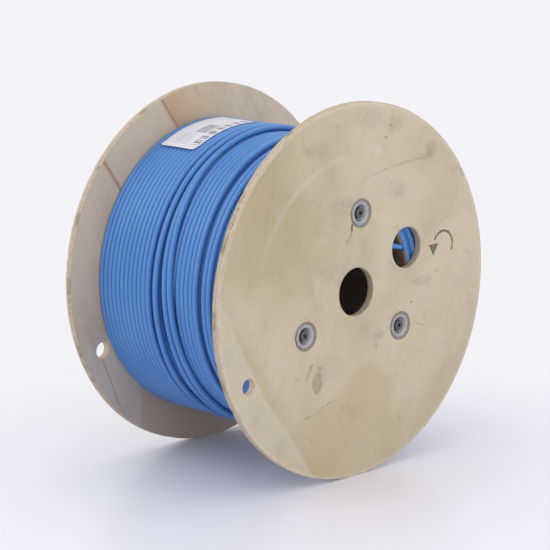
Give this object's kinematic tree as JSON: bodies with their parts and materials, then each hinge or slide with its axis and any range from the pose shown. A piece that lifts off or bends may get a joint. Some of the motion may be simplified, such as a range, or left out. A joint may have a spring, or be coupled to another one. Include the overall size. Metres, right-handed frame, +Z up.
{
  "type": "cable drum",
  "caption": "Plywood cable drum, full of blue data cable, held together by tie bolts through its two flanges and thin barrel; a spindle bore runs through the axis.",
  "frame": {"origin": "on the drum's axis, midway between the flanges: the centre of the bounding box", "axes": "+X along the drum's axis, out of the near flange whose drive hole shows the cable's inner end; +Z up as the drum stands on its rims"},
  "size_m": [0.292, 0.5, 0.4999],
  "materials": {
    "flange_plywood": "bare sanded softwood and poplar plywood, pale veneer faces, dull",
    "barrel_board": "bare thin bent plywood, dull brown edge",
    "bolt_steel": "dull zinc plate, darkened in the socket",
    "washer_zinc": "galvanised pressed sheet, dull grey",
    "cable_jacket": "smooth halogen-free jacket, satin blue",
    "label_paper": "matt white self-adhesive paper"
  },
  "bodies": {
    "root": {"near_flange": "flange_plywood", "far_flange": "flange_plywood", "barrel": "barrel_board", "tie_bolt_1": "bolt_steel", "tie_bolt_2": "bolt_steel", "tie_bolt_3": "bolt_steel", "near_cup_washer_1": "washer_zinc", "near_cup_washer_2": "washer_zinc", "near_cup_washer_3": "washer_zinc", "far_cup_washer_1": "washer_zinc", "far_cup_washer_2": "washer_zinc", "far_cup_washer_3": "washer_zinc", "tie_nut_1": "bolt_steel", "tie_nut_2": "bolt_steel", "tie_nut_3": "bolt_steel", "cable_inner_layers": "cable_jacket", "cable_lower_layer": "cable_jacket", "cable_near_turns": "cable_jacket", "cable_top_layer": "cable_jacket", "cable_crossing_turn_1": "cable_jacket", "cable_crossing_turn_2": "cable_jacket", "cable_crossing_turn_3": "cable_jacket", "cable_inner_end": "cable_jacket", "label": "label_paper"}
  },
  "joints": []
}
